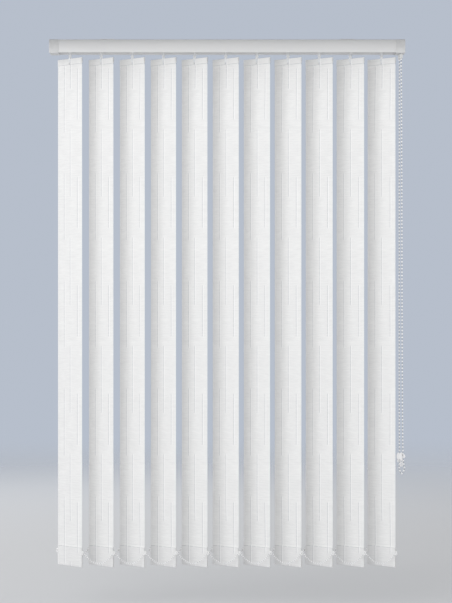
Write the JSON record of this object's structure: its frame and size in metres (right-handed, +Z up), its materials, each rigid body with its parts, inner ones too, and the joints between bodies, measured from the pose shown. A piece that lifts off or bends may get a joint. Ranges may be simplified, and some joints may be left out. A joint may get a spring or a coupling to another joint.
{
  "type": "vertical blind",
  "caption": "Vertical blind: white fabric vanes hung from a slim headrail, tilted and drawn by a beaded control loop, linked at the foot by fine bead chains.",
  "frame": {"origin": "centre of the plane that the two top brackets are screwed to, midway between their screw holes", "axes": "+X along the headrail to the right as seen from the room, -Y into the room, +Z up"},
  "size_m": [0.8903, 0.0698, 1.3172],
  "materials": {
    "rail_white": "satin powder coat",
    "cap_white": "fine matt moulded",
    "moulded_white": "moulded",
    "hook_white": "moulded",
    "chain_white": "glossy moulded beads on a cord",
    "tidy_white": "glossy moulded",
    "bracket_steel": "satin",
    "rod_aluminium": "extruded, satin",
    "cloth_white": "woven polyester with fine ribs and dashed slub threads"
  },
  "bodies": {
    "root": {"headrail": "rail_white", "end_cap_left": "cap_white", "end_cap_right": "cap_white", "drive_bearing": "cap_white", "end_stop": "moulded_white", "chain_guide": "moulded_white", "control_chain": "chain_white", "chain_tidy": "tidy_white", "bracket_left": "bracket_steel", "bracket_right": "bracket_steel", "carrier_01": "moulded_white"},
    "drive": {"tilt_rod": "rod_aluminium", "chain_wheel": "moulded_white"},
    "carriage_02": {"carrier_02": "moulded_white"},
    "carriage_03": {"carrier_03": "moulded_white"},
    "carriage_04": {"carrier_04": "moulded_white"},
    "carriage_05": {"carrier_05": "moulded_white"},
    "carriage_06": {"carrier_06": "moulded_white"},
    "carriage_07": {"carrier_07": "moulded_white"},
    "carriage_08": {"carrier_08": "moulded_white"},
    "carriage_09": {"carrier_09": "moulded_white"},
    "carriage_10": {"carrier_10": "moulded_white"},
    "carriage_11": {"carrier_11": "moulded_white"},
    "blade_01": {"stem_01": "hook_white", "vane_01": "cloth_white", "fittings_01": "moulded_white"},
    "blade_02": {"stem_02": "hook_white", "vane_02": "cloth_white", "fittings_02": "moulded_white"},
    "blade_03": {"stem_03": "hook_white", "vane_03": "cloth_white", "fittings_03": "moulded_white"},
    "blade_04": {"stem_04": "hook_white", "vane_04": "cloth_white", "fittings_04": "moulded_white"},
    "blade_05": {"stem_05": "hook_white", "vane_05": "cloth_white", "fittings_05": "moulded_white"},
    "blade_06": {"stem_06": "hook_white", "vane_06": "cloth_white", "fittings_06": "moulded_white"},
    "blade_07": {"stem_07": "hook_white", "vane_07": "cloth_white", "fittings_07": "moulded_white"},
    "blade_08": {"stem_08": "hook_white", "vane_08": "cloth_white", "fittings_08": "moulded_white"},
    "blade_09": {"stem_09": "hook_white", "vane_09": "cloth_white", "fittings_09": "moulded_white"},
    "blade_10": {"stem_10": "hook_white", "vane_10": "cloth_white", "fittings_10": "moulded_white"},
    "blade_11": {"stem_11": "hook_white", "vane_11": "cloth_white", "fittings_11": "moulded_white"},
    "front_chain": {"front_bottom_chain": "chain_white"},
    "rear_chain": {"rear_bottom_chain": "chain_white"}
  },
  "joints": [
    {"name": "traverse_02", "type": "slide", "parent": "root", "child": "carriage_02", "axis": [-1, 0, 0], "range_m": [0, 0.063]},
    {"name": "traverse_03", "type": "slide", "parent": "root", "child": "carriage_03", "axis": [-1, 0, 0], "range_m": [0, 0.126]},
    {"name": "traverse_04", "type": "slide", "parent": "root", "child": "carriage_04", "axis": [-1, 0, 0], "range_m": [0, 0.189]},
    {"name": "traverse_05", "type": "slide", "parent": "root", "child": "carriage_05", "axis": [-1, 0, 0], "range_m": [0, 0.252]},
    {"name": "traverse_06", "type": "slide", "parent": "root", "child": "carriage_06", "axis": [-1, 0, 0], "range_m": [0, 0.315]},
    {"name": "traverse_07", "type": "slide", "parent": "root", "child": "carriage_07", "axis": [-1, 0, 0], "range_m": [0, 0.378]},
    {"name": "traverse_08", "type": "slide", "parent": "root", "child": "carriage_08", "axis": [-1, 0, 0], "range_m": [0, 0.441]},
    {"name": "traverse_09", "type": "slide", "parent": "root", "child": "carriage_09", "axis": [-1, 0, 0], "range_m": [0, 0.504]},
    {"name": "traverse_10", "type": "slide", "parent": "root", "child": "carriage_10", "axis": [-1, 0, 0], "range_m": [0, 0.567]},
    {"name": "traverse", "type": "slide", "parent": "root", "child": "carriage_11", "axis": [-1, 0, 0], "range_m": [0, 0.63], "deforming": ["front_bottom_chain", "rear_bottom_chain"]},
    {"name": "tilt", "type": "hinge", "parent": "root", "child": "blade_01", "pos_m": [-0.3935, 0, -0.03], "axis": [0, 0, -1], "range_deg": [-26.5, 119.5]},
    {"name": "tilt_02", "type": "hinge", "parent": "carriage_02", "child": "blade_02", "pos_m": [-0.3155, 0, -0.03], "axis": [0, 0, -1], "range_deg": [-26.5, 119.5]},
    {"name": "tilt_03", "type": "hinge", "parent": "carriage_03", "child": "blade_03", "pos_m": [-0.2375, 0, -0.03], "axis": [0, 0, -1], "range_deg": [-26.5, 119.5]},
    {"name": "tilt_04", "type": "hinge", "parent": "carriage_04", "child": "blade_04", "pos_m": [-0.1595, 0, -0.03], "axis": [0, 0, -1], "range_deg": [-26.5, 119.5]},
    {"name": "tilt_05", "type": "hinge", "parent": "carriage_05", "child": "blade_05", "pos_m": [-0.0815, 0, -0.03], "axis": [0, 0, -1], "range_deg": [-26.5, 119.5]},
    {"name": "tilt_06", "type": "hinge", "parent": "carriage_06", "child": "blade_06", "pos_m": [-0.0035, 0, -0.03], "axis": [0, 0, -1], "range_deg": [-26.5, 119.5]},
    {"name": "tilt_07", "type": "hinge", "parent": "carriage_07", "child": "blade_07", "pos_m": [0.0745, 0, -0.03], "axis": [0, 0, -1], "range_deg": [-26.5, 119.5]},
    {"name": "tilt_08", "type": "hinge", "parent": "carriage_08", "child": "blade_08", "pos_m": [0.1525, 0, -0.03], "axis": [0, 0, -1], "range_deg": [-26.5, 119.5]},
    {"name": "tilt_09", "type": "hinge", "parent": "carriage_09", "child": "blade_09", "pos_m": [0.2305, 0, -0.03], "axis": [0, 0, -1], "range_deg": [-26.5, 119.5]},
    {"name": "tilt_10", "type": "hinge", "parent": "carriage_10", "child": "blade_10", "pos_m": [0.3085, 0, -0.03], "axis": [0, 0, -1], "range_deg": [-26.5, 119.5]},
    {"name": "tilt_11", "type": "hinge", "parent": "carriage_11", "child": "blade_11", "pos_m": [0.3865, 0, -0.03], "axis": [0, 0, -1], "range_deg": [-26.5, 119.5]},
    {"name": "rod_spin", "type": "hinge", "parent": "root", "child": "drive", "pos_m": [0, 0.009, -0.0185], "axis": [1, 0, 0], "range_deg": [-160, 718]},
    {"name": "front_chain_turn", "type": "hinge", "parent": "blade_01", "child": "front_chain", "pos_m": [-0.35984, -0.03194, -1.28], "axis": [0, 0, -1], "range_deg": [-119.5, 26.5]},
    {"name": "rear_chain_turn", "type": "hinge", "parent": "blade_01", "child": "rear_chain", "pos_m": [-0.42716, 0.03194, -1.28], "axis": [0, 0, -1], "range_deg": [-119.5, 26.5]}
  ],
  "couplings": [
    {"joint": "traverse_02", "follows": "traverse", "ratio": 0.1},
    {"joint": "traverse_03", "follows": "traverse", "ratio": 0.2},
    {"joint": "traverse_04", "follows": "traverse", "ratio": 0.3},
    {"joint": "traverse_05", "follows": "traverse", "ratio": 0.4},
    {"joint": "traverse_06", "follows": "traverse", "ratio": 0.5},
    {"joint": "traverse_07", "follows": "traverse", "ratio": 0.6},
    {"joint": "traverse_08", "follows": "traverse", "ratio": 0.7},
    {"joint": "traverse_09", "follows": "traverse", "ratio": 0.8},
    {"joint": "traverse_10", "follows": "traverse", "ratio": 0.9},
    {"joint": "tilt_02", "follows": "tilt", "ratio": 1},
    {"joint": "tilt_03", "follows": "tilt", "ratio": 1},
    {"joint": "tilt_04", "follows": "tilt", "ratio": 1},
    {"joint": "tilt_05", "follows": "tilt", "ratio": 1},
    {"joint": "tilt_06", "follows": "tilt", "ratio": 1},
    {"joint": "tilt_07", "follows": "tilt", "ratio": 1},
    {"joint": "tilt_08", "follows": "tilt", "ratio": 1},
    {"joint": "tilt_09", "follows": "tilt", "ratio": 1},
    {"joint": "tilt_10", "follows": "tilt", "ratio": 1},
    {"joint": "tilt_11", "follows": "tilt", "ratio": 1},
    {"joint": "rod_spin", "follows": "tilt", "ratio": 6},
    {"joint": "front_chain_turn", "follows": "tilt", "ratio": -1},
    {"joint": "rear_chain_turn", "follows": "tilt", "ratio": -1}
  ]
}
